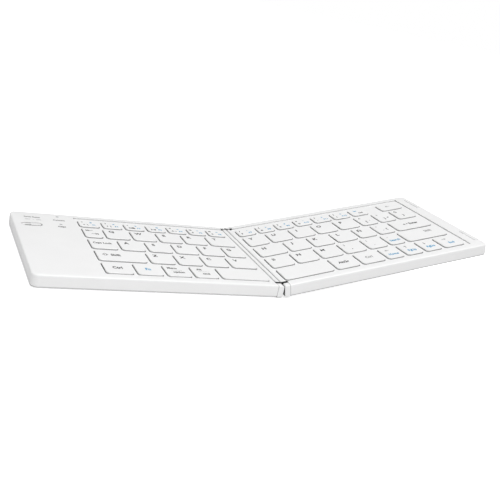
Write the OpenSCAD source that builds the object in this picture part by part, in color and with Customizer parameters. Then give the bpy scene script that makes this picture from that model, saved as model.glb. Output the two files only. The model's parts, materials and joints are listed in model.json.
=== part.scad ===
// Two-half folding keyboard. Each half is drawn flat in its own frame: X runs from the hinge line to the
// outer edge, Y from the front edge to the back, and Z = 0 is its top face. The left half is the mirror
// of that frame, and the right half is then turned up about the two hinge axes.

/* [Keys] */
// Distance between the centres of two letter keys along a row
key_pitch = 16.8; // [16:0.1:18]
// Distance between two rows of full keys
row_pitch = 18.4; // [17:0.1:20]
// Depth of the cell of a number-row key
number_row_pitch = 13.5; // [12:0.1:16]
// Gap between two neighbouring keycaps
key_gap = 2.7; // [2.2:0.1:3.2]
// Corner radius of a keycap
cap_corner_r = 1.7; // [1:0.1:2.4]
// Height of a keycap above the well floor
cap_rise = 0.8; // [0.6:0.1:1]
// Height of a keycap from skirt to top
cap_h = 1.9; // [1.6:0.1:2.2]
// Wall of a keycap
cap_wall = 0.9; // [0.7:0.05:1.1]
// Chamfer round the top of a keycap
cap_chamfer = 0.25; // [0.1:0.05:0.4]
// Clearance between a keycap and its opening
cap_clearance = 0.4; // [0.3:0.05:0.5]
// How far a key travels
key_travel = 1.2; // [0.8:0.1:1.3]
// Radius of the guide stem under a keycap
stem_r = 1.6; // [1.3:0.1:1.9]
// Running clearance between a stem and its guide
stem_clearance = 0.05; // [0.02:0.01:0.09]
// Keys at least this many pitches wide have two stems
two_stem_width = 1.5; // [1.4:0.05:1.8]

/* [Housing] */
// Width of the blank border outside the right key well
outer_border = 9.5; // [6.5:0.1:12]
// Depth of the border in front of the key well
front_border = 5.8; // [5.4:0.1:9]
// Depth of the border behind the key well
back_border = 5.2; // [5.2:0.1:9]
// Width of the rim between the hinge line and the left key well
left_seam_rim = 3.2; // [1.9:0.1:4]
// Width of the rim between the hinge line and the right key well
right_seam_rim = 1.9; // [1.85:0.05:2.1]
// Distance from the hinge line to the first key cells of the left half
left_key_start = 5.1; // [4.6:0.1:6]
// Distance from the hinge line to the first key cells of the right half
right_key_start = 3.1; // [3:0.1:4]
// Gap between the left key well's outer edge and the key cells
left_well_margin = 0.7; // [0.5:0.1:2]
// Gap between the right key well's outer edge and the key cells
right_well_margin = 2.3; // [0.5:0.1:3]
// Gap between the key well's front edge and the key cells
well_margin_front = 0.25; // [0.2:0.05:1]
// Gap between the key well's back edge and the key cells
well_margin_back = 2.75; // [1:0.05:4]
// Depth of the key well
well_depth = 0.7; // [0.5:0.05:0.9]
// Thickness of the housing under the top face
deck_t = 2.0; // [1.8:0.05:2.2]
// Thickness of each half without its feet
body_t = 7.2; // [7:0.1:9]
// Side wall of the housing
wall = 1.6; // [1.2:0.1:2]
// Plan radius of the outer corners
corner_r = 4; // [2.5:0.5:6]
// Radius of the rounded top edges
edge_r = 0.9; // [0.5:0.1:1.2]
// Thickness of the bottom cover's rim
floor_t = 1.0; // [0.8:0.1:1.2]
// Height of the bottom cover's raised pan inside the walls
pan_h = 0.8; // [0.5:0.1:1]
// Step between the bottom cover's rim and the side walls
floor_step = 0.2; // [0.1:0.05:0.4]
// Clearance between the pan and the walls
pan_clearance = 0.1; // [0.05:0.05:0.3]

/* [Hinge] */
// Angle by which the right half stands raised at rest
fold_rest = 14.4; // [0:0.1:60]
// Gap between the halves when they lie flat
seam_gap = 0.4; // [0.3:0.05:0.6]
// Radius of the top edges along the hinge line
seam_r = 0.7; // [0.6:0.05:0.9]
// Gap between the two top faces when folded shut
closed_gap = 0.5; // [0.45:0.05:0.9]
// Depth of the hinge pins below the top face
pin_depth = 1.0; // [0.95:0.05:1.1]
// Radius of a hinge pin
pin_r = 0.5; // [0.4:0.05:0.6]
// Running clearance round a hinge pin
pin_clearance = 0.03; // [0.02:0.01:0.08]
// Thickness of a link plate
link_t = 1.4; // [0.8:0.1:1.4]
// Radius of the link plate's ends
link_r = 0.85; // [0.7:0.05:0.9]
// Clearance on each face of a link plate
link_clearance = 0.05; // [0.03:0.01:0.1]
// Width of a hinge end cap
end_cap_w = 3.7; // [3.5:0.1:4.1]
// Depth of a hinge end cap
end_cap_d = 3.9; // [3.2:0.1:4]
// Radius of an end cap's edges along the hinge line
end_cap_r = 1.2; // [0.7:0.1:1.3]
// How far an end cap stands below the housing
end_cap_drop = 0.3; // [0:0.05:0.5]
// Wall in front of a pin's blind bore
end_cap_wall = 0.8; // [0.5:0.1:1.2]

/* [Feet, pads and screws] */
// Radius of a rubber foot
foot_r = 4; // [3:0.5:5]
// How far the feet stand below the housing
foot_h = 0.8; // [0.6:0.1:1.2]
// Depth of the pocket that seats a foot or a pad
pocket_d = 0.4; // [0.3:0.05:0.6]
// Distance of the inner feet from the hinge line
foot_in = 9.5; // [9:0.5:14]
// Distance of the outer feet from the outer edge
foot_out = 10; // [9:0.5:16]
// Distance of the feet from the front and back edges
foot_edge = 12; // [10:0.5:18]
// Length of a closing pad
pad_l = 17.5; // [12:0.5:24]
// Width of a closing pad
pad_w = 3.0; // [2:0.1:3.4]
// How far a closing pad stands proud
pad_rise = 0.3; // [0.1:0.05:0.35]
// Distance of each closing pad from the middle of the edge
pad_offset = 33.5; // [26:0.5:36]
// Radius of a housing screw
screw_r = 0.8; // [0.6:0.1:1]
// Radius of a screw head
screw_head_r = 1.5; // [1.3:0.1:1.7]
// Height of a screw head
screw_head_h = 0.6; // [0.4:0.1:0.8]
// Radius of a screw boss
boss_r = 2.0; // [1.8:0.1:2.2]

/* [Left panel] */
// Centre of the slide switch from the outer edge
switch_from_edge = 10.6; // [10:0.1:14]
// Centre of the slide switch from the back edge
switch_from_back = 22.8; // [20:0.1:28]
// Length of the slide switch's recess
switch_recess_l = 12.4; // [11:0.1:14]
// Width of the slide switch's recess
switch_recess_w = 6.2; // [5:0.1:7]
// Length of the switch knob
knob_l = 6.6; // [6:0.1:7]
// Width of the switch knob
knob_w = 4.2; // [3.6:0.1:4.6]
// How far the switch knob slides
switch_travel = 4.4; // [3:0.1:4.6]
// Distance of the indicator lamps from the outer edge
lamp_from_edge = 28.1; // [26:0.1:30]
// Distance of the rear indicator lamp from the back edge
lamp_from_back = 5.9; // [5:0.1:7]
// Spacing of the two indicator lamps
lamp_spacing = 13.9; // [10:0.1:16]
// Radius of an indicator lamp's light pipe
lamp_r = 0.9; // [0.6:0.1:1.2]

/* [Inside] */
// Thickness of the membrane under the keys
membrane_t = 0.4; // [0.3:0.05:0.6]
// Thickness of the key support plate
plate_t = 0.6; // [0.5:0.05:0.8]
// Wall of a stem guide
guide_wall = 0.9; // [0.7:0.1:1.1]
// Thickness of the battery
battery_t = 3.0; // [2:0.1:3.1]
// Thickness of the circuit board
board_t = 0.8; // [0.6:0.1:1]
// Depth taken up by the circuit board behind the battery
board_depth = 38.4; // [34:0.2:40]
// Width of the charging socket
socket_w = 7.6; // [7:0.1:9]
// Height of the charging socket
socket_h = 2.6; // [2.4:0.1:3]
// Length of the charging socket
socket_l = 5.4; // [5:0.1:7]
// Centre of the charging socket from the outer edge
socket_from_edge = 20; // [18:0.5:22]

/* [Hidden] */
$fn = 48;
// Widths of the key cells in pitches, counted outwards from the hinge line, front row last
LEFT_NUMBER = [0.82, 0.82, 0.84, 0.84, 0.86, 0.85, 0.88];
LEFT_UPPER = [1.14, 1, 1, 1, 1, 0.77];
LEFT_HOME = [0.86, 1, 1, 1, 1, 1.05];
LEFT_LOWER = [1.11, 1, 1, 1, 1.8];
LEFT_FRONT = [1.9, 0.97, 0.98, 1.01, 1.05];
RIGHT_NUMBER = [0.85, 0.82, 0.85, 0.83, 0.89, 0.88, 0.86, 0.52, 1.12];
RIGHT_UPPER = [0.96, 1, 1, 1, 1, 0.84, 0.86, 0.96];
RIGHT_HOME = [1.245, 1, 1, 1, 0.87, 0.83, 1.675];
RIGHT_LOWER = [1.02, 1, 1, 1, 0.91, 0.78, 1.91];
RIGHT_FRONT = [2.06, 1.05, 1.06, 0.81, 0.82, 0.82, 1];
LEFT_ROWS = [LEFT_FRONT, LEFT_LOWER, LEFT_HOME, LEFT_UPPER, LEFT_NUMBER];
RIGHT_ROWS = [RIGHT_FRONT, RIGHT_LOWER, RIGHT_HOME, RIGHT_UPPER, RIGHT_NUMBER];
// The blank stretch of the right number row, which holds no key
BLANK_ROW = 4;
BLANK_CELL = 7;
// Play between two pieces that lie side by side, overlap of joined shapes and reach of the cutting shapes
GAP = 0.1;
EPS = 0.01;
BIG = 20;
// Room round the end of a link plate in its slot
slot_room = 0.4;
// How far a pressed stem dips into the support plate
stem_dip = 0.4;

// Every key by name: [node, half (-1 left, 1 right), list of [row, cell]]
KEYS = [
    ["key_q", -1, [[3, 4]]], ["key_w", -1, [[3, 3]]], ["key_e", -1, [[3, 2]]], ["key_r", -1, [[3, 1]]],
    ["key_t", -1, [[3, 0]]], ["key_a", -1, [[2, 4]]], ["key_s", -1, [[2, 3]]], ["key_d", -1, [[2, 2]]],
    ["key_f", -1, [[2, 1]]], ["key_g", -1, [[2, 0]]], ["key_z", -1, [[1, 3]]], ["key_x", -1, [[1, 2]]],
    ["key_c", -1, [[1, 1]]], ["key_v", -1, [[1, 0]]], ["key_space_left", -1, [[0, 0]]],
    ["keys_number_left", -1, [for (i = [0 : 6]) [4, i]]],
    ["keys_modifier_left", -1, [[3, 5], [2, 5], [1, 4], [0, 1], [0, 2], [0, 3], [0, 4]]],
    ["key_y", 1, [[3, 0]]], ["key_u", 1, [[3, 1]]], ["key_i", 1, [[3, 2]]], ["key_o", 1, [[3, 3]]],
    ["key_p", 1, [[3, 4]]], ["key_h", 1, [[2, 0]]], ["key_j", 1, [[2, 1]]], ["key_k", 1, [[2, 2]]],
    ["key_l", 1, [[2, 3]]], ["key_n_tilde", 1, [[2, 4]]], ["key_b", 1, [[1, 0]]], ["key_n", 1, [[1, 1]]],
    ["key_m", 1, [[1, 2]]], ["key_comma", 1, [[1, 3]]], ["key_space_right", 1, [[0, 0]]],
    ["keys_number_right", 1, [for (i = [0 : 8]) if (i != BLANK_CELL) [4, i]]],
    ["keys_symbol_right", 1, [[3, 5], [3, 6], [3, 7], [2, 5], [1, 4], [1, 5]]],
    ["keys_modifier_right", 1, [[2, 6], [1, 6], [0, 1], [0, 2]]],
    ["keys_arrow", 1, [for (i = [3 : 6]) [0, i]]],
];

// Overall plan of a half
function total(v, n) = n <= 0 ? 0 : v[n - 1] + total(v, n - 1);
left_block_w = total(LEFT_HOME, len(LEFT_HOME)) * key_pitch;
right_block_w = total(RIGHT_HOME, len(RIGHT_HOME)) * key_pitch;
left_well_out = left_key_start + left_block_w + left_well_margin;
right_well_out = right_key_start + right_block_w + right_well_margin;
half_w = right_well_out + outer_border;
cells_front = front_border + well_margin_front;
cells_back = cells_front + 4 * row_pitch + number_row_pitch;
well_back = cells_back + well_margin_back;
half_d = well_back + back_border;
// Heights in a half's own frame, where the top face is 0
web_floor = -deck_t;
cap_top = cap_rise - well_depth;
cap_inside = cap_top - cap_wall;
skirt_bottom = cap_top - cap_h;
housing_bottom = -body_t + floor_t;
pan_top = housing_bottom + pan_h;
membrane_top = pan_top + membrane_t;
plate_top = membrane_top + plate_t;
guide_top = cap_inside - key_travel - GAP;
stem_bottom = plate_top - stem_dip + key_travel;
guide_r = stem_r + stem_clearance;
// Hinge
top_z = foot_h + body_t;
pin_x = pin_depth + closed_gap / 2;
pin_z = top_z - pin_depth;
half_fold = fold_rest / 2;
seam_x = seam_gap / 2;
slot_w = link_t + 2 * link_clearance;
slot_x = seam_x + end_cap_w + slot_room;
link_reach = seam_x + end_cap_w;
slot_depth = pin_depth + link_reach - pin_x + slot_room;
hinge_block_x = 8;
hinge_block_y = cells_front + key_gap / 2 - cap_clearance - GAP;
pin_end = hinge_block_y - GAP;
screw_top = -deck_t - 0.4;
screw_hole_top = -deck_t + 0.2;
// Places of the screws: [x, y] of the three along the front, repeated along the back
SCREW_ROW = [[6.4, 3.2], [half_w / 2, wall + boss_r - 0.3], [half_w - wall - boss_r - 1, wall + boss_r + 1]];
SCREWS = concat(SCREW_ROW, [for (p = SCREW_ROW) [p[0], half_d - p[1]]]);
FEET = [for (x = [foot_in, half_w - foot_out]) for (y = [foot_edge, half_d - foot_edge]) [x, y]];

// A point [x, z] of the flat object turned up about the hinge axis at x = px
function turn(p, px) = [
    px + (p[0] - px) * cos(half_fold) - (p[1] - pin_z) * sin(half_fold),
    pin_z + (p[0] - px) * sin(half_fold) + (p[1] - pin_z) * cos(half_fold)];
function folded_x(x, z) = turn(turn([x, z], pin_x), -pin_x)[0];
// The origin lies on the table under the middle of the whole outline
right_reach = max(folded_x(half_w, foot_h + floor_t), folded_x(half_w - floor_step, foot_h));
x_shift = (half_w - right_reach) / 2;

// Cell [row, cell] of a half: its near x, far x, front y and back y
function rows_of(side) = side < 0 ? LEFT_ROWS : RIGHT_ROWS;
function start_of(side) = side < 0 ? left_key_start : right_key_start;
function cell_box(side, rc) = [
    start_of(side) + total(rows_of(side)[rc[0]], rc[1]) * key_pitch,
    start_of(side) + total(rows_of(side)[rc[0]], rc[1] + 1) * key_pitch,
    cells_front + rc[0] * row_pitch,
    cells_front + rc[0] * row_pitch + (rc[0] == 4 ? number_row_pitch : row_pitch)];
function all_cells(side) = [
    for (r = [0 : 4]) for (c = [0 : len(rows_of(side)[r]) - 1])
        if (!(side > 0 && r == BLANK_ROW && c == BLANK_CELL)) [r, c]];
// Offsets of the stems from the middle of a cap as wide as w
function stem_offsets(w) = w < two_stem_width * key_pitch ? [0] : [-w / 2 + key_pitch / 2, w / 2 - key_pitch / 2];

// Placement of a half's own frame in the whole object
module hinge_turn(px) {
    translate([px, 0, pin_z]) rotate([0, -half_fold, 0]) translate([-px, 0, -pin_z]) children();
}
module place(side) {
    translate([x_shift, 0, 0])
        if (side < 0)
            translate([0, -half_d / 2, top_z]) mirror([1, 0, 0]) children();
        else
            hinge_turn(-pin_x) hinge_turn(pin_x) translate([0, -half_d / 2, top_z]) children();
}
module place_link() {
    translate([x_shift, 0, 0]) hinge_turn(-pin_x) children();
}
// Draws its children at the front end and mirrored at the back end of a half
module both_ends() {
    children();
    translate([0, half_d, 0]) mirror([0, 1, 0]) children();
}
module box(x0, x1, y0, y1, z0, z1) {
    translate([x0, y0, z0]) cube([x1 - x0, y1 - y0, z1 - z0]);
}

// Plan outline with round corners of radius r
function arc(cx, cy, r, a0, n) = [for (i = [0 : n]) [cx + r * cos(a0 + 90 * i / n), cy + r * sin(a0 + 90 * i / n)]];
function round_box(x0, x1, y0, y1, r, n) = concat(
    arc(x1 - r, y1 - r, r, 0, n), arc(x0 + r, y1 - r, r, 90, n),
    arc(x0 + r, y0 + r, r, 180, n), arc(x1 - r, y0 + r, r, 270, n));
module round_plate(x0, x1, y0, y1, r, z0, z1, n = 5) {
    translate([0, 0, z0]) linear_extrude(z1 - z0) polygon(round_box(x0, x1, y0, y1, r, n));
}

// Everything outside a convex edge of radius r whose corner is at the profile's origin
module edge_profile(r) {
    polygon(concat(arc(-r, -r, r, 0, 5), [[-r, 1], [1, 1], [1, -r]]));
}
// Cuts a rounded edge along Y at x = x1, or along X at y = 0
module edge_along_y(x1, r, length) {
    translate([x1, length, 0]) rotate([90, 0, 0]) linear_extrude(length) edge_profile(r);
}
module edge_along_x(r, length) {
    mirror([0, 1, 0]) rotate([90, 0, 90]) linear_extrude(length) edge_profile(r);
}
// Cuts the round outer corner, with its rounded top edge, at the front outer corner
module outer_corner_cutter() {
    reach = corner_r * 1.5;
    translate([half_w - corner_r, corner_r, 0]) mirror([0, 1, 0]) intersection() {
        rotate_extrude() polygon(concat(
            [[corner_r, -BIG]], arc(corner_r - edge_r, -edge_r, edge_r, 0, 5),
            [[corner_r - edge_r, 1], [reach, 1], [reach, -BIG]]));
        translate([0, 0, -BIG - 1]) cube([reach, reach, BIG + 3]);
    }
}
// The outer block of a half between two heights, with all its rounded edges
module housing_block(z0) {
    difference() {
        box(seam_x, half_w, 0, half_d, z0, 0);
        edge_along_y(half_w, edge_r, half_d);
        translate([2 * seam_x, 0, 0]) mirror([1, 0, 0]) edge_along_y(seam_x, seam_r, half_d);
        both_ends() {
            edge_along_x(edge_r, half_w);
            outer_corner_cutter();
        }
    }
}
// Notch that takes a hinge end cap, and the slot that its link plate swings in
module hinge_notch() {
    box(-1, seam_x + end_cap_w, -1, end_cap_d, -BIG, 1);
}
module hinge_slot() {
    box(-1, slot_x, end_cap_d - EPS, end_cap_d + slot_w, -slot_depth, 1);
    translate([pin_x, end_cap_d, -pin_depth]) rotate([-90, 0, 0])
        cylinder(r = pin_r + pin_clearance, h = pin_end - end_cap_d);
}
// Inside of the housing, clear of the walls and of the blocks that hold the hinges
module cavity(clearance, z0, z1) {
    difference() {
        box(seam_x + wall + clearance, half_w - wall - clearance,
            wall + clearance, half_d - wall - clearance, z0, z1);
        both_ends() box(0, hinge_block_x + clearance, 0, hinge_block_y + clearance, z0 - 1, z1 + 1);
        both_ends() translate([half_w - wall - clearance, wall + clearance, z0 - 1])
            cylinder(r = 2 * boss_r + 1, h = z1 - z0 + 2, $fn = 4);
    }
}
module at_screws() {
    for (p = SCREWS) translate([p[0], p[1], 0]) children();
}

// Upper housing of a half: walls, deck, key well and key openings
module top_cover(side, seam_rim, well_out) {
    difference() {
        housing_block(housing_bottom);
        difference() {
            cavity(0, housing_bottom - 1, web_floor);
            at_screws() translate([0, 0, pan_top + GAP]) cylinder(r = boss_r, h = BIG);
        }
        box(seam_rim, well_out, front_border, well_back, -well_depth, 1);
        for (rc = all_cells(side)) key_opening(cell_box(side, rc));
        at_screws() translate([0, 0, housing_bottom - 1])
            cylinder(r = screw_r + 0.02, h = screw_hole_top - housing_bottom + 1);
        both_ends() {
            hinge_notch();
            hinge_slot();
        }
    }
}
module key_opening(c) {
    inset = key_gap / 2 - cap_clearance;
    round_plate(c[0] + inset, c[1] - inset, c[2] + inset, c[3] - inset,
        cap_corner_r + cap_clearance, web_floor - 1, 1, 3);
}
// Lower housing of a half: a plate whose raised pan fits inside the walls
module bottom_cover() {
    s = floor_step;
    difference() {
        union() {
            difference() {
                box(seam_x + s, half_w - s, s, half_d - s, -body_t, housing_bottom);
                both_ends() outer_corner_cutter_low();
            }
            cavity(pan_clearance, housing_bottom - EPS, pan_top);
        }
        at_screws() {
            translate([0, 0, -body_t - 1]) cylinder(r = screw_head_r + 0.05, h = 1 + screw_head_h);
            translate([0, 0, -body_t - 1]) cylinder(r = screw_r + 0.1, h = BIG / 2);
        }
        at_screws() translate([0, 0, housing_bottom]) cylinder(r = boss_r + 0.1, h = BIG / 2);
        for (p = FEET) translate([p[0], p[1], -body_t - 1]) cylinder(r = foot_r, h = 1 + pocket_d);
        both_ends() hinge_notch();
    }
}
module outer_corner_cutter_low() {
    r = corner_r - floor_step;
    translate([half_w - corner_r, corner_r, -BIG]) mirror([0, 1, 0]) difference() {
        cube([2 * r, 2 * r, BIG]);
        translate([0, 0, -1]) cylinder(r = r, h = BIG + 2);
    }
}

module left_top_cover() {
    color("whitesmoke") place(-1) difference() {
        top_cover(-1, left_seam_rim, left_well_out);
        translate([half_w - switch_from_edge, half_d - switch_from_back, 0]) switch_recess();
        for (p = lamps()) translate([p[0], p[1], -BIG / 2]) cylinder(r = lamp_r + 0.05, h = BIG);
        charging_cutout();
    }
}
module right_top_cover() {
    color("whitesmoke") place(1) difference() {
        top_cover(1, right_seam_rim, right_well_out);
        translate([0, 0, -pocket_d]) pad_plates(1);
    }
}
module left_bottom_cover() {
    color("gainsboro") place(-1) bottom_cover();
}
module right_bottom_cover() {
    color("gainsboro") place(1) bottom_cover();
}

// Hinge end cap: fills the notch and holds one end of a pin
module end_cap() {
    r = end_cap_r;
    outer_r = r / 3;
    bottom = -body_t - end_cap_drop;
    x1 = seam_x + end_cap_w;
    difference() {
        translate([0, end_cap_d, 0]) rotate([90, 0, 0]) linear_extrude(end_cap_d)
            polygon(concat([[x1, 0]], arc(seam_x + r, -r, r, 90, 5), arc(seam_x + r, bottom + r, r, 180, 5),
                arc(x1 - outer_r, bottom + outer_r, outer_r, 270, 5)));
        edge_along_x(edge_r, half_w);
        translate([pin_x, end_cap_wall, -pin_depth]) rotate([-90, 0, 0])
            cylinder(r = pin_r + pin_clearance, h = end_cap_d);
    }
}
module hinge_end_caps_left() {
    color("white") place(-1) both_ends() end_cap();
}
module hinge_end_caps_right() {
    color("white") place(1) both_ends() end_cap();
}
// Link plates and pins, drawn for the flat object and turned with the first hinge axis
module at_link_ends() {
    for (end = [-1, 1]) scale([1, end, 1]) translate([0, -half_d / 2, top_z - pin_depth]) children();
}
module hinge_links() {
    y0 = end_cap_d + link_clearance;
    color("dimgray") place_link() at_link_ends() difference() {
        translate([0, y0 + link_t, 0]) rotate([90, 0, 0]) linear_extrude(link_t) union() {
            square([2 * (link_reach - link_r), 2 * link_r], center = true);
            for (x = [link_r - link_reach, link_reach - link_r]) translate([x, 0]) circle(r = link_r);
        }
        for (x = [-pin_x, pin_x]) translate([x, y0 - 1, 0]) rotate([-90, 0, 0])
            cylinder(r = pin_r, h = link_t + 2);
    }
}
module hinge_pins() {
    color("silver") place_link() at_link_ends()
        for (x = [-pin_x, pin_x]) translate([x, end_cap_wall + 0.1, 0]) rotate([-90, 0, 0])
            cylinder(r = pin_r, h = pin_end - end_cap_wall - 0.2);
}

// Slide switch on the left panel
knob_offset = switch_travel / 2;
knob_floor = -0.8;
module slot_plate(l, w, z0, z1) {
    translate([0, 0, z0]) linear_extrude(z1 - z0) union() {
        square([l - w, w], center = true);
        for (s = [-1, 1]) translate([s * (l - w) / 2, 0]) circle(d = w);
    }
}
module switch_recess() {
    slot_plate(switch_recess_l, switch_recess_w, knob_floor, 1);
    slot_plate(switch_travel + 4, 2.4, -BIG / 2, 0);
}
module switch_knob() {
    color("lightgray") place(-1)
        translate([half_w - switch_from_edge - knob_offset, half_d - switch_from_back, 0]) {
            slot_plate(knob_l, knob_w, knob_floor + 0.05, 0.1);
            translate([0, 0, knob_floor - 2]) cylinder(r = 1, h = 2.1);
            for (i = [-1 : 1]) translate([i * 1.2, 0, 0.1]) cube([0.5, knob_w - 1.4, 0.3], center = true);
        }
}
function lamps() = [for (i = [0, 1]) [half_w - lamp_from_edge, half_d - lamp_from_back - i * lamp_spacing]];
module lamp_light_pipes() {
    color("aliceblue") place(-1) for (p = lamps())
        translate([p[0], p[1], pan_top + board_t]) cylinder(r = lamp_r, h = -pan_top - board_t);
}

// Inside the left panel: the switch body under the knob and the chip on the circuit board
switch_body_l = 10.4;
switch_body_w = 4.4;
chip_side = 6;
chip_inset = [4, 5];
chip_h = 0.9;
panel_x0 = left_well_out + 1.5;
panel_x1 = half_w - wall - 1;
board_y0 = half_d - board_depth;
battery_y0 = wall + 7;
socket_x = half_w - socket_from_edge;
socket_y0 = half_d - 0.2 - socket_l;
socket_z = pan_top + board_t;
socket_wall = 0.4;
module circuit_board() {
    color("darkgreen") place(-1) difference() {
        union() {
            box(panel_x0, panel_x1, board_y0, half_d - wall - 0.3, pan_top, pan_top + board_t);
            translate([half_w - switch_from_edge, half_d - switch_from_back, pan_top + board_t - EPS])
                translate([-switch_body_l / 2, -switch_body_w / 2, 0])
                    cube([switch_body_l, switch_body_w, knob_floor - 2.1 - pan_top - board_t]);
            translate([panel_x0 + chip_inset[0], board_y0 + chip_inset[1], pan_top])
                cube([chip_side, chip_side, board_t + chip_h]);
        }
        at_screws() translate([0, 0, -BIG]) cylinder(r = boss_r + 0.4, h = 2 * BIG);
        both_ends() translate([half_w - wall, wall, -BIG]) cylinder(r = 2 * boss_r + 1.4, h = 2 * BIG, $fn = 4);
    }
}
module battery() {
    color("slategray") place(-1)
        round_plate(panel_x0, panel_x1, battery_y0, board_y0 - 2, 1, pan_top, pan_top + battery_t, 4);
}
module charging_cutout() {
    box(socket_x - socket_w / 2 - 0.1, socket_x + socket_w / 2 + 0.1, half_d - wall - 1, half_d + 1,
        socket_z - 0.05, socket_z + socket_h + 0.1);
}
module charging_socket() {
    r = socket_w / 2;
    color("silver") place(-1) translate([socket_x, 0, socket_z]) union() {
        difference() {
            round_plate(-r, r, socket_y0, socket_y0 + socket_l, 0.5, 0, socket_h, 3);
            box(socket_wall - r, r - socket_wall, socket_y0 + 0.6, half_d, socket_wall, socket_h - socket_wall);
        }
        box(-2, 2, socket_y0 + 0.3, half_d - 1.2, socket_h / 2 - 0.3, socket_h / 2 + 0.3);
    }
}

// Membrane and key support plate under the keys of a half
module under_keys(well_out, z0, z1) {
    box(hinge_block_x + 0.2, well_out - 0.4, hinge_block_y + 0.2, half_d - hinge_block_y - 0.2, z0, z1);
}
module membrane(well_out) {
    under_keys(well_out, pan_top, membrane_top);
}
module key_plate(side, well_out) {
    difference() {
        union() {
            under_keys(well_out, membrane_top, plate_top);
            at_stems(side) translate([0, 0, plate_top - EPS])
                cylinder(r = guide_r + guide_wall, h = guide_top - plate_top + EPS);
        }
        at_stems(side) translate([0, 0, membrane_top - 1]) cylinder(r = guide_r, h = BIG);
    }
}
module at_stems(side) {
    for (rc = all_cells(side)) cell_stems(cell_box(side, rc)) children();
}
module cell_stems(c) {
    for (dx = stem_offsets(c[1] - c[0])) translate([(c[0] + c[1]) / 2 + dx, (c[2] + c[3]) / 2, 0]) children();
}
module left_key_plate() {
    color("lightsteelblue") place(-1) key_plate(-1, left_well_out);
}
module right_key_plate() {
    color("lightsteelblue") place(1) key_plate(1, right_well_out);
}
module left_membrane() {
    color("khaki") place(-1) membrane(left_well_out);
}
module right_membrane() {
    color("khaki") place(1) membrane(right_well_out);
}

// Feet, closing pads and screws
module feet() {
    for (p = FEET) translate([p[0], p[1], -body_t - foot_h]) cylinder(r = foot_r, h = foot_h + pocket_d);
}
module rubber_feet_left() {
    color("dimgray") place(-1) feet();
}
module rubber_feet_right() {
    color("dimgray") place(1) feet();
}
module pad_plates(rise) {
    for (s = [-1, 1])
        round_plate(half_w - edge_r - pad_w - 0.1, half_w - edge_r - 0.1, half_d / 2 + s * pad_offset - pad_l / 2,
            half_d / 2 + s * pad_offset + pad_l / 2, 0.6, 0, rise, 3);
}
module closing_pads() {
    color("gainsboro") place(1) translate([0, 0, -pocket_d]) pad_plates(pocket_d + pad_rise);
}
module screws() {
    at_screws() difference() {
        union() {
            translate([0, 0, -body_t]) cylinder(r = screw_head_r, h = screw_head_h);
            translate([0, 0, -body_t]) cylinder(r = screw_r, h = screw_top + body_t);
        }
        translate([0, 0, -body_t]) for (a = [0, 90]) rotate([0, 0, a]) cube([1.6, 0.35, 0.6], center = true);
    }
}
module screws_left() {
    color("gray") place(-1) screws();
}
module screws_right() {
    color("gray") place(1) screws();
}

// A keycap on the cell c: a chamfered, hollow cap with its guide stems
module keycap(c) {
    x0 = c[0] + key_gap / 2;
    x1 = c[1] - key_gap / 2;
    y0 = c[2] + key_gap / 2;
    y1 = c[3] - key_gap / 2;
    difference() {
        intersection() {
            round_plate(x0, x1, y0, y1, cap_corner_r, skirt_bottom, cap_top, 4);
            translate([0, y1, 0]) rotate([90, 0, 0]) linear_extrude(y1 - y0) cap_profile(x0, x1);
            translate([x0, 0, 0]) rotate([90, 0, 90]) linear_extrude(x1 - x0) cap_profile(y0, y1);
        }
        round_plate(x0 + cap_wall, x1 - cap_wall, y0 + cap_wall, y1 - cap_wall, cap_corner_r / 2,
            skirt_bottom - 1, cap_inside, 3);
    }
    cell_stems(c) translate([0, 0, stem_bottom]) cylinder(r = stem_r, h = cap_inside - stem_bottom + EPS);
}
module cap_profile(a, b) {
    k = cap_chamfer;
    polygon([[a, skirt_bottom], [b, skirt_bottom], [b, cap_top - k], [b - k, cap_top], [a + k, cap_top],
        [a, cap_top - k]]);
}
module key_group(k) {
    color("white") place(k[1]) for (rc = k[2]) keycap(cell_box(k[1], rc));
}

left_top_cover();
left_bottom_cover();
right_top_cover();
right_bottom_cover();
hinge_end_caps_left();
hinge_end_caps_right();
hinge_links();
hinge_pins();
switch_knob();
lamp_light_pipes();
battery();
circuit_board();
charging_socket();
left_key_plate();
right_key_plate();
left_membrane();
right_membrane();
rubber_feet_left();
rubber_feet_right();
closing_pads();
screws_left();
screws_right();
for (k = KEYS) key_group(k);
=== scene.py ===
import json
import math

import bpy
from mathutils import Matrix, Vector

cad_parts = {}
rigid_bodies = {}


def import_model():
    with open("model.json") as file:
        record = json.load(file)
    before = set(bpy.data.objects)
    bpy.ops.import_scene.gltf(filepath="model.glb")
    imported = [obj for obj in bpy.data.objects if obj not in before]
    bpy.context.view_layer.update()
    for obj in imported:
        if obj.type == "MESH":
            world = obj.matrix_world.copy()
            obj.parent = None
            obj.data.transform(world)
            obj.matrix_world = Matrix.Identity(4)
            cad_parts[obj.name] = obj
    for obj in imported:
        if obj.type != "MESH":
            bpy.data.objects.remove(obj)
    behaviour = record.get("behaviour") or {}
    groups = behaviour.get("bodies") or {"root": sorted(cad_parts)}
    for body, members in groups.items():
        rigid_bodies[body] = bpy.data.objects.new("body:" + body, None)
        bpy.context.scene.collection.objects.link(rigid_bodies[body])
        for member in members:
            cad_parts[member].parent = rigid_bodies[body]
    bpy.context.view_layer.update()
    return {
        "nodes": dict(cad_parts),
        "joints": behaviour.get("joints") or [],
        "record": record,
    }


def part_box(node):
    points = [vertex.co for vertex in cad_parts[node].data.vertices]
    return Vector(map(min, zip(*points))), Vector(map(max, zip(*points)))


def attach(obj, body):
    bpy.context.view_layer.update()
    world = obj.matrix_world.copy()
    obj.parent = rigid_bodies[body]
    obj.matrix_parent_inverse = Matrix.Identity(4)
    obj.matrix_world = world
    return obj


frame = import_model()

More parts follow.
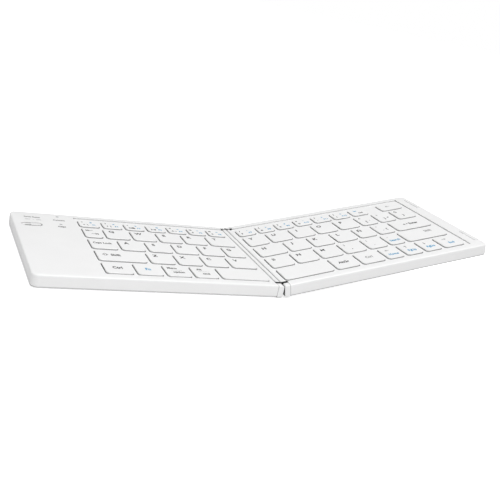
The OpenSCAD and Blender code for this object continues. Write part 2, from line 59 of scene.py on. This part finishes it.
MM = 0.001
NODES = frame["nodes"]
JOINTS = {joint["name"]: joint for joint in frame["joints"]}
SLOT_OF = {part["node"]: part["material_slot"] for part in frame["record"]["subparts"]}

# ---------------------------------------------------------------- camera, floor and light
CAMERA_AT = (-209.07 * MM, -419.11 * MM, 159.68 * MM)
CAMERA_TURN = (71.951, -11.826, -22.647)
LENS = 56.145
SENSOR = 36.0
CLIP_NEAR = 0.01
CLIP_FAR = 100
FLOOR_RADIUS = 30.0
FLOOR_SIDES = 48
FLOOR_GREYS = (0.885, 0.9)
FLOOR_PATCH = 40.0
FLOOR_ROUGHNESS = 0.9
FLOOR_WHITE_FROM = 0.3
FLOOR_WHITE_AT = 1.6
FLOOR_GLOW = 0.78
SKY_STRENGTH = 0.245
# Lamps that look at the middle of the keyboard: (name, place, diameter, power)
LAMPS = (
    ("key_light", (0.35, -0.3, 3.4), 2.2, 98.0),
    ("front_light", (-0.2, -0.65, 0.3), 0.35, 0.95),
)

# ---------------------------------------------------------------- finishes
PATCH = 60.0                  # scale of the patches of colour and gloss
PATCH_DETAIL = 4.0
PATCH_RANGE = (0.3, 0.7)      # part of the noise over which the colour wanders
GRAIN = 2600.0                # scale of the fine relief
CAP_GRAIN = 3400.0
GRAIN_DETAIL = 2.0
GRAIN_DEPTH = 0.05 * MM
GLOSS_SPREAD = 0.05
PLASTIC_GLOSS = 0.3           # how strongly the white plastics shine
# Painted shade in corners, from an ambient occlusion node:
CORNER_SAMPLES = 6
CORNER_RANGE = (0.25, 0.75)   # open share of the view at which the painted corner shade is darkest, and no longer dark
WELD_REACH = 0.002 * MM
SMOOTH_BELOW = math.radians(32)

# Painted shade and shadow along the plastic's edges: distances, and greys by which the colour is scaled
CAP_EDGE = 0.3 * MM           # from the cap's top to the foot of its bevel
CAP_BEVEL = 0.06 * MM         # over which the bevel goes into the side's painted shade
CAP_FOOT = 1.02 * MM          # from the cap's top to the painted shadow at its foot
CAP_FOOT_SOFT = 0.2 * MM      # over which the painted foot shadow grows dark
# greys of the painted shadow at the cap's foot, of the painted shade on its side above it, and at the
# bevel's foot
CAP_SHADE_GREYS = (0.08, 0.46, 0.74, 0.88)
BASE_SHADE = 0.75 * MM        # from the underside to where the lower edge's painted shadow ends
BASE_MIDDLE = 0.7             # share of it at which the painted shadow has its middle grey
BASE_FLAT = 0.02 * MM         # height up to which the underside stays bright, without painted shadow
BASE_EDGE = 0.05 * MM         # height at which the painted shadow is darkest
# greys of the painted shadow at its darkest and at its middle
BASE_SHADOW_GREYS = (0.6, 0.7)
JOINT_FROM = 0.34 * MM        # from an end cap's outer edge to where the painted shadow of the joint starts
JOINT_FULL = 0.26 * MM        # and to where it is full
JOINT_SHADOW_GREY = 0.5

# ---------------------------------------------------------------- printing
INK_LIFT = 0.02 * MM
INK_ORDER = ["dark", "faint", "blue"]
LETTER = 4.3 * MM
WORD = 3.8 * MM
LARGE_WORD = WORD * 1.12
SHIFT_WORD = WORD * 1.05
SMALL_WORD = WORD * 0.9
SMALL = 2.7 * MM
SIGN = SMALL * 1.2
FUNCTION = SMALL * 0.95
NARROW = 0.76                 # how wide words are set, against the font's own width
LETTER_SPREAD = 0.95
FUNCTION_SPREAD = 0.9
LETTER_SPACE = 1.05
CURVE_STEPS = 3
BOLD = 0.035                  # outward growth of the strokes, as a share of the size
LETTER_BOLD = 0.034
FULL_LETTERS = "MB"           # whose gaps would close at that growth
FULL_BOLD = 0.3               # share of the growth that they get
STROKE = 0.42 * MM
SHIFT_STROKE = STROKE * 0.8
RULE_STROKE = STROKE * 0.5

# Places on a cap: (share of its width from the left, share of its depth from the back)
LETTER_AT = (0.33, 0.3)
SHIFTED_AT, DIGIT_AT, THIRD_AT = (0.2, 0.27), (0.24, 0.7), (0.42, 0.72)
ICON_AT, FUNCTION_AT = (0.64, 0.32), (0.74, 0.68)
SIGNS_AT = ((0.26, 0.24), (0.44, 0.7), (0.7, 0.62))
UPPER_AT, RULE_AT, LOWER_AT = (0.36, 0.28), (0.5, 0.47), (0.55, 0.66)
TRAVEL_ARROW_AT, TRAVEL_WORD_AT = (0.42, 0.28), (0.56, 0.66)

# Drawings as paths of points, in halves of their size
LINE = [[(-1, 0), (1, 0)]]
ARROW = LINE + [[(0.35, 0.5), (1, 0), (0.35, -0.5)]]
TAB_ARROW = ARROW + [[(1.25, 0.6), (1.25, -0.6)]]
SHIFT_ARROW = [[(-1, 0), (0, 1), (1, 0), (0.45, 0), (0.45, -0.8), (-0.45, -0.8), (-0.45, 0), (-1, 0)]]
ENTER_ARROW = [[(1, 0.6), (1, 0), (-1, 0)], [(-0.4, 0.4), (-1, 0), (-0.4, -0.4)]]
RULE_L = 6.4 * MM
TRAVEL_ARROW_L = 2.6 * MM
ERASE_ARROW_L = 3 * MM
TAB_ARROW_L = 3.4 * MM
SHIFT_ARROW_L = 3.2 * MM
ENTER_ARROW_L = 3.2 * MM

# Words behind the switch: (words, size, width, growth of the strokes, distance from its middle, ink)
SWITCH_WORDS = (
    ("Power Switch", SMALL * 0.85, 0.7, BOLD, 13.2 * MM, "dark"),
    ("OFF   |   ON", SMALL * 0.75, 0.85, 0.01, 8.4 * MM, "faint"),
)
SWITCH_WORDS_SHIFT = -0.5 * MM
# Words before the lamps, from the left: (words, size, growth of the strokes, distance from the lamp)
LAMP_WORDS = (("Connect", SMALL * 0.85, BOLD, 5.6 * MM), ("Caps", SMALL * 0.95, 0.05, 3.4 * MM))
LAMP_WORDS_SPREAD = 0.85

# ---------------------------------------------------------------- slots of the link plates, and the black strips of painted shadow in them
SLOT_W = 1.5 * MM
SLOT_ROOM = 0.4 * MM          # of the slot beyond the end cap, away from the seam
# Sizes of the black strips of painted shadow in the slot:
LIP_NEAR = 0.2 * MM
LIP_FAR = 0.5 * MM
SLOT_SHADOW_DEPTH = 1.5 * MM

# ---------------------------------------------------------------- finding solids in a mesh
SAME_POINT = 0.001 * MM       # corners closer than this are one
SAME_ROW = 5 * MM             # solids closer than this along Y lie in one row


# ---------------------------------------------------------------- nodes
def rgba(colour):
    """The four channels of a colour given as one grey or as red, green and blue."""
    return (*colour, 1) if isinstance(colour, tuple) else (colour, colour, colour, 1)


def find_node(tree, kind):
    """The node of a kind that a new tree comes with."""
    return next(node for node in tree.nodes if node.type == kind)


def new_node(tree, kind, inputs, operation=None):
    """A new node whose inputs, by name or number, are linked to other nodes' outputs or set to values."""
    made = tree.nodes.new(kind)
    if operation:
        made.operation = operation
    for key, given in inputs.items():
        if isinstance(given, bpy.types.NodeSocket):
            tree.links.new(given, made.inputs[key])
        else:
            made.inputs[key].default_value = given
    return made


def vector_math(tree, operation, inputs, output="Vector"):
    """An output of a new vector node."""
    return new_node(tree, "ShaderNodeVectorMath", inputs, operation).outputs[output]


def in_range(tree, value, source=(0, 1), target=(0, 1)):
    """The value taken from the range source to the range target, and kept inside it."""
    inputs = {"Value": value, "From Min": source[0], "From Max": source[1],
              "To Min": target[0], "To Max": target[1]}
    return new_node(tree, "ShaderNodeMapRange", inputs).outputs["Result"]


def ramp(tree, factor, stops):
    """A colour that follows the factor: stops are (place, colour), lowest first."""
    made = new_node(tree, "ShaderNodeValToRGB", {"Fac": factor})
    elements = made.color_ramp.elements
    for i, (at, colour) in enumerate(stops):
        element = elements[i] if i < len(elements) else elements.new(at)
        element.position = at
        element.color = rgba(colour)
    return made.outputs["Color"]


def own_space(tree):
    """The place in the piece's own space, so that what follows it stays put when the piece moves."""
    return tree.nodes.new("ShaderNodeTexCoord").outputs["Object"]


def noise(tree, scale, detail=PATCH_DETAIL, stretch=None):
    """Noise in the piece's own space."""
    place = own_space(tree)
    if stretch:
        place = new_node(tree, "ShaderNodeMapping", {"Vector": place, "Scale": stretch}).outputs["Vector"]
    inputs = {"Vector": place, "Scale": scale, "Detail": detail}
    return new_node(tree, "ShaderNodeTexNoise", inputs).outputs["Fac"]


def painted_corner_shade(tree, colour, reach, shade):
    """The colour darkened by painted shade where the surface lies in a corner no wider than reach."""
    around = new_node(tree, "ShaderNodeAmbientOcclusion", {"Distance": reach})
    around.samples = CORNER_SAMPLES
    light = in_range(tree, around.outputs["AO"], CORNER_RANGE, (1 - shade, 1))
    return vector_math(tree, "SCALE", {0: colour, "Scale": light})


def painted_shade_by_height(tree, colour, up, stops):
    """The colour times a grey of painted shade that follows the height along up: stops are (height, grey),
    lowest first.
    """
    height = vector_math(tree, "DOT_PRODUCT", {0: own_space(tree), 1: up}, "Value")
    lowest, highest = stops[0][0], stops[-1][0]
    share = in_range(tree, height, (lowest, highest))
    shade = ramp(tree, share, [((at - lowest) / (highest - lowest), value) for at, value in stops])
    return vector_math(tree, "MULTIPLY", {0: colour, 1: shade})


# ---------------------------------------------------------------- finishes
def material(name):
    """A new node material; returns it with its tree and its shader."""
    made = bpy.data.materials.new(name)
    made.use_nodes = True
    return made, made.node_tree, find_node(made.node_tree, "BSDF_PRINCIPLED")


def finish(name, low, high, roughness, metallic=0.0, grain=GRAIN, bump=0.02, stretch=None,
           coat=0.0, sheen=0.0, clear=0.0, gloss_level=0.5, corner=None, fall=None):
    """A finish whose colour wanders between low and high, with its own grain and patches of gloss; corner
    adds painted shade in corners, and fall a painted shade by height.
    """
    made, tree, shader = material(name)
    patches = noise(tree, PATCH, stretch=stretch)
    colour = ramp(tree, patches, zip(PATCH_RANGE, (low, high)))
    if corner:
        colour = painted_corner_shade(tree, colour, *corner)
    if fall:
        colour = painted_shade_by_height(tree, colour, *fall)
    gloss = in_range(tree, patches, target=(roughness - GLOSS_SPREAD, roughness + GLOSS_SPREAD))
    relief = new_node(tree, "ShaderNodeBump", {
        "Strength": bump, "Distance": GRAIN_DEPTH, "Height": noise(tree, grain, GRAIN_DETAIL, stretch),
    })
    tree.links.new(colour, shader.inputs["Base Color"])
    tree.links.new(gloss, shader.inputs["Roughness"])
    tree.links.new(relief.outputs["Normal"], shader.inputs["Normal"])
    shader.inputs["Metallic"].default_value = metallic
    shader.inputs["Coat Weight"].default_value = coat
    shader.inputs["Sheen Weight"].default_value = sheen
    shader.inputs["Transmission Weight"].default_value = clear
    shader.inputs["Specular IOR Level"].default_value = gloss_level
    return made


FINISHES = {
    # The housing has painted shade in its corners, its wells and its seam.
    "housing": finish("housing", 0.895, 0.91, 0.36, gloss_level=PLASTIC_GLOSS, corner=(1.6 * MM, 0.6)),
    "hinge_steel": finish("hinge_steel", 0.012, 0.02, 0.6, metallic=0.3, stretch=(1, 1, 12)),
    "pin_steel": finish("pin_steel", 0.45, 0.55, 0.28, metallic=1.0, stretch=(1, 30, 1)),
    "switch": finish("switch", 0.86, 0.88, 0.38),
    "light_pipe": finish("light_pipe", (0.8, 0.82, 0.84), (0.86, 0.88, 0.9), 0.25, clear=0.35),
    "battery_foil": finish("battery_foil", 0.55, 0.65, 0.35, metallic=0.9, bump=0.1),
    "board": finish("board", (0.01, 0.08, 0.03), (0.015, 0.12, 0.05), 0.3, coat=0.3),
    "socket_steel": finish("socket_steel", 0.6, 0.68, 0.25, metallic=1.0),
    "support_plate": finish("support_plate", 0.06, 0.08, 0.5, metallic=0.6, stretch=(1, 25, 1)),
    "membrane": finish("membrane", 0.03, 0.045, 0.4),
    "foot_rubber": finish("foot_rubber", 0.5, 0.58, 0.8, bump=0.15, sheen=0.2),
    "pad_rubber": finish("pad_rubber", 0.8, 0.84, 0.75, bump=0.1, sheen=0.1),
    "screw_steel": finish("screw_steel", 0.45, 0.55, 0.3, metallic=1.0),
}
INKS = {
    "dark": finish("dark_ink", 0.02, 0.035, 0.6),
    "faint": finish("faint_ink", 0.3, 0.36, 0.6),
    "blue": finish("blue_ink", (0.0, 0.29, 0.55), (0.01, 0.33, 0.6), 0.6),
}

# ---------------------------------------------------------------- the two halves
# Each half has a frame whose X runs along its key rows towards the right of the keyboard, Y to the back
# and Z out of its top face. OUTWARD is the way along X from the hinge to the half's outer edge.
RISE = JOINTS["key_y_press"]["axis"]
TURN = {"left": Matrix.Identity(3), "right": Matrix.Rotation(-math.atan2(RISE[0], -RISE[2]), 3, "Y")}
OUTWARD = {"left": -1, "right": 1}
SAMPLE_CAP = {"left": "key_q", "right": "key_y"}


def side_name(body):
    """The side of a half's body."""
    return body.removesuffix("_half")


def reaches(node, way):
    """How far each corner of a node reaches along a way."""
    return [way.dot(vertex.co) for vertex in NODES[node].data.vertices]


def keycap_finish_with_painted_shade(side):
    """Keycap plastic with painted shade on its side below the bevel, a painted dark shadow at the foot of
    the cap, and painted shade in corners.
    """
    up = TURN[side] @ Vector((0, 0, 1))
    top = max(reaches(SAMPLE_CAP[side], up))
    foot, edge = top - CAP_FOOT, top - CAP_EDGE
    heights = (foot - CAP_FOOT_SOFT, foot, foot + CAP_FOOT_SOFT, edge)
    stops = [*zip(heights, CAP_SHADE_GREYS), (edge + CAP_BEVEL, 1)]
    return finish("keycap_" + side, 0.9, 0.915, 0.38, grain=CAP_GRAIN, bump=0.015,
                  gloss_level=PLASTIC_GLOSS, corner=(1.0 * MM, 0.6), fall=(up, stops))


def bottom_finish_with_painted_shadow(side):
    """Plastic of a bottom shell, with painted shadow along its lower edge but not on its underside."""
    up = TURN[side] @ Vector((0, 0, 1))
    low = min(reaches(f"{side}_bottom_cover", up))
    stops = [(low, 1), (low + BASE_FLAT, 1), (low + BASE_EDGE, BASE_SHADOW_GREYS[0]),
             (low + BASE_SHADE * BASE_MIDDLE, BASE_SHADOW_GREYS[1]), (low + BASE_SHADE, 1)]
    return finish("bottom_cover_" + side, 0.885, 0.9, 0.42, bump=0.06, gloss_level=PLASTIC_GLOSS,
                  fall=(up, stops))


def end_cap_finish_with_painted_shadow(side):
    """Plastic of the end caps, with a painted shadow of the joint to the shell along their outer edge, and
    painted shade in corners.
    """
    out = TURN[side] @ Vector((OUTWARD[side], 0, 0))
    edge = max(reaches(f"hinge_end_caps_{side}", out))
    stops = [(edge - JOINT_FROM, 1), (edge - JOINT_FULL, JOINT_SHADOW_GREY), (edge, JOINT_SHADOW_GREY)]
    return finish("hinge_cap_" + side, 0.895, 0.91, 0.32, gloss_level=PLASTIC_GLOSS,
                  corner=(3 * MM, 0.9), fall=(out, stops))


# Finishes whose painted shade differs between the halves, by slot and side, and the side of the nodes that
# have them
BY_SIDE = {}
SIDE_OF = {joint["child"]: side_name(joint["parent"])
           for joint in frame["joints"] if joint["name"].endswith("_press")}
for side in TURN:
    BY_SIDE["hinge_cap", side] = end_cap_finish_with_painted_shadow(side)
    BY_SIDE["keycap", side] = keycap_finish_with_painted_shade(side)
    BY_SIDE["bottom_cover", side] = bottom_finish_with_painted_shadow(side)
    SIDE_OF[f"{side}_bottom_cover"] = SIDE_OF[f"hinge_end_caps_{side}"] = side


def smooth_by_angle(limit):
    """Node group that shades faces smooth and leaves the edges above the limit sharp."""
    group = bpy.data.node_groups.new("smooth_by_angle", "GeometryNodeTree")
    for way in ("INPUT", "OUTPUT"):
        group.interface.new_socket("Geometry", in_out=way, socket_type="NodeSocketGeometry")
    entry = group.nodes.new("NodeGroupInput")
    angle = group.nodes.new("GeometryNodeInputMeshEdgeAngle")
    sharp = new_node(group, "FunctionNodeCompare", {0: angle.outputs["Unsigned Angle"], 1: limit},
                     "GREATER_THAN")
    faces = new_node(group, "GeometryNodeSetShadeSmooth", {"Geometry": entry.outputs[0]})
    edges = new_node(group, "GeometryNodeSetShadeSmooth", {
        "Geometry": faces.outputs["Geometry"],
        "Selection": sharp.outputs["Result"],
        "Shade Smooth": False,
    })
    edges.domain = "EDGE"
    new_node(group, "NodeGroupOutput", {0: edges.outputs["Geometry"]})
    return group


SMOOTH = smooth_by_angle(SMOOTH_BELOW)


def dress(node):
    """Gives a CAD node its finish and smooth shading across its rounded edges."""
    piece = NODES[node]
    piece.data.materials.clear()
    slot = SLOT_OF[node]
    piece.data.materials.append(FINISHES.get(slot) or BY_SIDE[slot, SIDE_OF[node]])
    weld = piece.modifiers.new("weld", "WELD")
    weld.merge_threshold = WELD_REACH
    piece.modifiers.new("smooth", "NODES").node_group = SMOOTH


for name in NODES:
    dress(name)


def box_of(points):
    """The lowest and the highest corner of the points' box."""
    return tuple(Vector([pick(axis) for axis in zip(*points)]) for pick in (min, max))


def solids(node, side):
    """Boxes (low, high) in the half's own frame of the separate solids of a node, back row first."""
    mesh = NODES[node].data
    back = TURN[side].inverted()
    points = [back @ vertex.co for vertex in mesh.vertices]
    parent = list(range(len(points)))

    def root(i):
        while parent[i] != i:
            parent[i] = parent[parent[i]]
            i = parent[i]
        return i

    owner = {}
    for i, point in enumerate(points):
        key = tuple(round(c / SAME_POINT) for c in point)
        parent[i] = owner.setdefault(key, i)
    for edge in mesh.edges:
        a, b = (root(i) for i in edge.vertices)
        parent[a] = b
    groups = {}
    for i, point in enumerate(points):
        groups.setdefault(root(i), []).append(point)
    boxes = [box_of(group) for group in groups.values()]
    return sorted(boxes, key=lambda box: (-round(box[0].y / SAME_ROW), box[0].x))


# ---------------------------------------------------------------- flat pieces
def new_object(name, data):
    """A new object in the scene."""
    made = bpy.data.objects.new(name, data)
    bpy.context.scene.collection.objects.link(made)
    return made


def flat_piece(name, points, faces, materials):
    """A new piece of flat faces with its materials."""
    mesh = bpy.data.meshes.new(name)
    mesh.from_pydata(points, [], faces)
    for made in materials:
        mesh.materials.append(made)
    return new_object(name, mesh)


def add_quad(points, faces, corners):
    """Adds a face on four corners of its own."""
    first = len(points)
    points.extend(corners)
    faces.append((first, first + 1, first + 2, first + 3))


# ---------------------------------------------------------------- shapes of the printing
def text_shape(words, size, spread=1.0, bold=BOLD):
    """Flat faces of a word, centred on the origin: (points, faces)."""
    curve = bpy.data.curves.new("word", "FONT")
    curve.body = words
    curve.size = size
    curve.resolution_u = CURVE_STEPS
    curve.offset = bold * size
    curve.align_x = "CENTER"
    curve.space_character = LETTER_SPACE
    holder = new_object("word", curve)
    bpy.context.view_layer.update()
    mesh = holder.evaluated_get(bpy.context.evaluated_depsgraph_get()).to_mesh()
    points = [Vector((v.co.x * spread, v.co.y)) for v in mesh.vertices]
    faces = [tuple(p.vertices) for p in mesh.polygons]
    bpy.data.objects.remove(holder)
    bpy.data.curves.remove(curve)
    low, high = box_of(points)
    middle = (low + high) / 2
    return [point - middle for point in points], faces


def drawing(paths, size, turn=0.0, width=STROKE):
    """Flat faces of thin lines along the paths, which are turned about the origin: (points, faces)."""
    points, faces = [], []
    for path in paths:
        for start, end in zip(path[:-1], path[1:]):
            a, b = Vector(start) * (size / 2), Vector(end) * (size / 2)
            along = (b - a).normalized() * width / 2
            aside = Vector((-along.y, along.x))
            a, b = a - along, b + along
            add_quad(points, faces, [a - aside, b - aside, b + aside, a + aside])
    spin = Matrix.Rotation(turn, 2)
    return [spin @ p for p in points], faces


class Print:
    """Flat printing on the top of a half, gathered into one piece."""

    def __init__(self, side):
        self.turn = TURN[side]
        self.points, self.faces, self.inks = [], [], []

    def add(self, shape, at, height, ink):
        """Puts a shape with its middle at a place of the half's frame."""
        first = len(self.points)
        for p in shape[0]:
            self.points.append(self.turn @ Vector((at[0] + p.x, at[1] + p.y, height + INK_LIFT)))
        for face in shape[1]:
            self.faces.append(tuple(first + i for i in face))
            self.inks.append(INK_ORDER.index(ink))

    def piece(self, name, body):
        """Makes the piece, which rides on the body; nothing where nothing is printed."""
        if not self.faces:
            return
        made = flat_piece(name, self.points, self.faces, [INKS[ink] for ink in INK_ORDER])
        for polygon, ink in zip(made.data.polygons, self.inks):
            polygon.material_index = ink
        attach(made, body)


# ---------------------------------------------------------------- what is printed on each key
# A legend is a list of marks: (shape, share of the cap's width from the left, share of its depth from the
# back, ink)
def mark(words, at, size=SMALL, spread=1.0, ink="dark", bold=BOLD):
    """A word or a sign as a mark."""
    return (text_shape(words, size, spread, bold), *at, ink)


def letter(sign):
    """The one large letter of a letter key."""
    bold = LETTER_BOLD * (FULL_BOLD if sign in FULL_LETTERS else 1)
    return [mark(sign, LETTER_AT, LETTER, LETTER_SPREAD, bold=bold)]


def digit(shifted, number, function, third=None):
    """Shifted sign, digit and third sign at the left, and a blue function icon and name at the right."""
    marks = [mark(shifted, SHIFTED_AT), mark(number, DIGIT_AT)]
    if third:
        marks.append(mark(third, THIRD_AT))
    marks.append(mark(function[0], ICON_AT, FUNCTION, ink="blue"))
    marks.append(mark(function[1], FUNCTION_AT, FUNCTION, FUNCTION_SPREAD, "blue"))
    return marks


def signs(*texts):
    """The two or three signs of a sign key."""
    return [mark(text, at, SIGN) for text, at in zip(texts, SIGNS_AT)]


def word(words, x=0.5, y=0.5, size=WORD, ink="dark"):
    """A word set narrow."""
    return [mark(words, (x, y), size, NARROW, ink)]


def stacked(upper, lower):
    """Two words with a thin rule between them."""
    rule = (drawing(LINE, RULE_L, width=RULE_STROKE), *RULE_AT, "faint")
    return word(upper, *UPPER_AT, SIGN) + [rule] + word(lower, *LOWER_AT, SIGN)


def travel_key(turn, words):
    """An arrow, and the blue word of the key's second use."""
    travel = (drawing(ARROW, TRAVEL_ARROW_L, turn), *TRAVEL_ARROW_AT, "faint")
    return [travel] + word(words, *TRAVEL_WORD_AT, SMALL_WORD, "blue")


LEGENDS = {f"key_{sign}": [letter(sign.upper())] for sign in "qwertasdfgzxcvyuiophjklbnm"}
LEGENDS["key_n_tilde"] = [letter("Ñ")]
LEGENDS["key_comma"] = [signs(";", ",")]
LEGENDS["key_space_left"] = [[]]
LEGENDS["key_space_right"] = [[]]
LEGENDS["keys_number_left"] = [
    digit("ª", "º", ("E", "sc"), "\\"),
    digit("!", "1", ("«", "F1"), "|"),
    digit("\"", "2", ("»", "F2"), "@"),
    digit("·", "3", ("||", "F3"), "#"),
    digit("$", "4", ("<", "F4"), "~"),
    digit("%", "5", (">", "F5")),
    digit("&", "6", ("o", "F6")),
]
LEGENDS["keys_number_right"] = [
    digit("/", "7", ("-", "F7")),
    digit("(", "8", ("+", "F8")),
    digit(")", "9", ("x", "F9")),
    digit("=", "0", ("-", "F10")),
    digit("?", "'", ("+", "F11")),
    digit("¿", "¡", ("o", "F12")),
    word("Del", 0.62, 0.66, SMALL) + word("Ins", 0.4, 0.28, SMALL, "blue"),
    [(drawing(ARROW, ERASE_ARROW_L, math.pi), 0.45, 0.45, "faint")],
]
LEGENDS["keys_modifier_left"] = [
    [(drawing(TAB_ARROW, TAB_ARROW_L, math.pi), 0.4, 0.3, "dark"),
     (drawing(TAB_ARROW, TAB_ARROW_L), 0.6, 0.64, "dark")],
    word("Caps Lock", 0.5, 0.46, SIGN),
    [(drawing(SHIFT_ARROW, SHIFT_ARROW_L, width=SHIFT_STROKE), 0.18, 0.45, "dark")]
    + word("Shift", 0.4, 0.46, SHIFT_WORD),
    word("Ctrl", size=LARGE_WORD),
    word("Fn", size=LARGE_WORD, ink="blue"),
    stacked("Menu", "option"),
    stacked("Alt", "cmd"),
]
LEGENDS["keys_symbol_right"] = [
    signs("^", "[", "`"),
    signs("*", "]", "+"),
    signs("Ç", "}"),
    signs("¨", "´", "{"),
    signs(":", "."),
    word("_", 0.3, 0.3, SMALL, "faint") + word("Search", 0.55, 0.64, SMALL_WORD, "blue"),
]
LEGENDS["keys_modifier_right"] = [
    [(drawing(ENTER_ARROW, ENTER_ARROW_L), 0.38, 0.5, "dark")] + word("Enter", 0.62, 0.5),
    word("Shift", 0.7, 0.35, ink="faint"),
    word("AltGr"),
    word("Ctrl", ink="faint"),
]
LEGENDS["keys_arrow"] = [
    travel_key(math.pi, "Home"),
    travel_key(math.pi / 2, "PgUp"),
    travel_key(-math.pi / 2, "PgDn"),
    travel_key(0.0, "End"),
]


def print_keys(node, side):
    """Prints the legends of a key node, one for each of its caps from the back row to the front."""
    caps = solids(node, side)
    if len(caps) != len(LEGENDS[node]):
        raise ValueError(f"{node} has {len(caps)} caps and {len(LEGENDS[node])} legends")
    sheet = Print(side)
    for (low, high), legend in zip(caps, LEGENDS[node]):
        for shape, x, y, ink in legend:
            at = (low.x + (high.x - low.x) * x, high.y - (high.y - low.y) * y)
            sheet.add(shape, at, high.z, ink)
    sheet.piece(node.replace("key", "legend", 1), node)


for name, joint in JOINTS.items():
    if name.endswith("_press"):
        print_keys(joint["child"], side_name(joint["parent"]))


# ---------------------------------------------------------------- printing on the left panel
def print_panel():
    """Prints the words behind the switch and before the two lamps."""
    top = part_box("left_top_cover")[1].z
    knob_low, knob_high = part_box("switch_knob")
    switch = (knob_low + knob_high) / 2
    panel = Print("left")
    for words, size, spread, bold, behind, ink in SWITCH_WORDS:
        at = (switch.x + SWITCH_WORDS_SHIFT, switch.y + behind)
        panel.add(text_shape(words, size, spread, bold), at, top, ink)
    for (low, high), (words, size, bold, before) in zip(solids("lamp_light_pipes", "left"), LAMP_WORDS):
        at = ((low.x + high.x) / 2, low.y - before)
        panel.add(text_shape(words, size, LAMP_WORDS_SPREAD, bold), at, top, "dark")
    panel.piece("panel_print", "left_half")


print_panel()


# ---------------------------------------------------------------- black strips of painted shadow in the link plates' slots
def slot_shadow_strips(side):
    """Black strips of painted shadow at the back wall and the lips of the front slot, in which a link
    plate lies.
    """
    body = f"{side}_half"
    low, high = solids(f"hinge_end_caps_{side}", side)[-1]
    top = solids(f"{side}_top_cover", side)[0][1].z + INK_LIFT
    wall = high.y + SLOT_W - INK_LIFT
    seam, outer = (high.x, low.x - SLOT_ROOM) if OUTWARD[side] < 0 else (low.x, high.x + SLOT_ROOM)
    points, faces = [], []
    for (y0, z0), (y1, z1) in (
        ((high.y - LIP_NEAR, top), (high.y, top)),
        ((wall, top), (wall + LIP_FAR, top)),
        ((wall, top), (wall, top - SLOT_SHADOW_DEPTH)),
    ):
        corners = ((seam, y0, z0), (outer, y0, z0), (outer, y1, z1), (seam, y1, z1))
        add_quad(points, faces, [TURN[side] @ Vector(corner) for corner in corners])
    made = flat_piece(body + "_slot_shadow_strips", points, faces, [FINISHES["hinge_steel"]])
    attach(made, body)


for side in TURN:
    slot_shadow_strips(side)


# ---------------------------------------------------------------- floor, light and camera
def seen_by_eye(tree):
    """1 for what the camera sees directly, and 0 for light that falls on the object."""
    return tree.nodes.new("ShaderNodeLightPath").outputs["Is Camera Ray"]


def floor():
    """A pale floor that shows the object's shadow and turns to plain white away from it."""
    made, tree, shader = material("floor")
    shader.inputs["Roughness"].default_value = FLOOR_ROUGHNESS
    shader.inputs["Specular IOR Level"].default_value = 0.0
    tint = ramp(tree, noise(tree, FLOOR_PATCH), zip((0, 1), FLOOR_GREYS))
    tree.links.new(tint, shader.inputs["Base Color"])
    position = tree.nodes.new("ShaderNodeNewGeometry").outputs["Position"]
    distance = vector_math(tree, "LENGTH", {0: position}, "Value")
    white = in_range(tree, distance, (FLOOR_WHITE_FROM, FLOOR_WHITE_AT), (FLOOR_GLOW, 1))
    strength = new_node(tree, "ShaderNodeMath", {0: white, 1: seen_by_eye(tree)}, "MULTIPLY")
    glow = new_node(tree, "ShaderNodeEmission", {"Strength": strength.outputs["Value"]})
    both = new_node(tree, "ShaderNodeAddShader", {0: shader.outputs["BSDF"], 1: glow.outputs["Emission"]})
    tree.links.new(both.outputs["Shader"], find_node(tree, "OUTPUT_MATERIAL").inputs["Surface"])
    angles = [math.tau * i / FLOOR_SIDES for i in range(FLOOR_SIDES)]
    corners = [(FLOOR_RADIUS * math.cos(angle), FLOOR_RADIUS * math.sin(angle), 0) for angle in angles]
    piece = flat_piece("floor", corners, [tuple(range(FLOOR_SIDES))], [made])


def lamp(name, at, size, power):
    """A round lamp that looks at the middle of the keyboard."""
    light = bpy.data.lights.new(name, "AREA")
    light.shape = "DISK"
    light.size = size
    light.energy = power
    holder = new_object(name, light)
    holder.location = at
    holder.rotation_euler = (-Vector(at)).to_track_quat("-Z", "Y").to_euler()


def sky():
    """A white backdrop, and a dimmer even light on the object."""
    world = bpy.data.worlds.new("sky")
    bpy.context.scene.world = world
    world.use_nodes = True
    tree = world.node_tree
    even = find_node(tree, "BACKGROUND")
    even.inputs["Color"].default_value = rgba(1)
    even.inputs["Strength"].default_value = SKY_STRENGTH
    plain = new_node(tree, "ShaderNodeBackground", {"Color": rgba(1), "Strength": 1.0})
    mix = new_node(tree, "ShaderNodeMixShader", {
        "Fac": seen_by_eye(tree), 1: even.outputs["Background"], 2: plain.outputs["Background"],
    })
    tree.links.new(mix.outputs["Shader"], find_node(tree, "OUTPUT_WORLD").inputs["Surface"])


floor()
sky()
for name, at, size, power in LAMPS:
    lamp(name, at, size, power)

view = bpy.data.cameras.new("camera")
view.lens = LENS
view.sensor_width = SENSOR
view.clip_start = CLIP_NEAR
view.clip_end = CLIP_FAR
camera = new_object("camera", view)
camera.location = CAMERA_AT
camera.rotation_euler = [math.radians(a) for a in CAMERA_TURN]
bpy.context.scene.camera = camera
bpy.context.scene.view_settings.view_transform = "Standard"
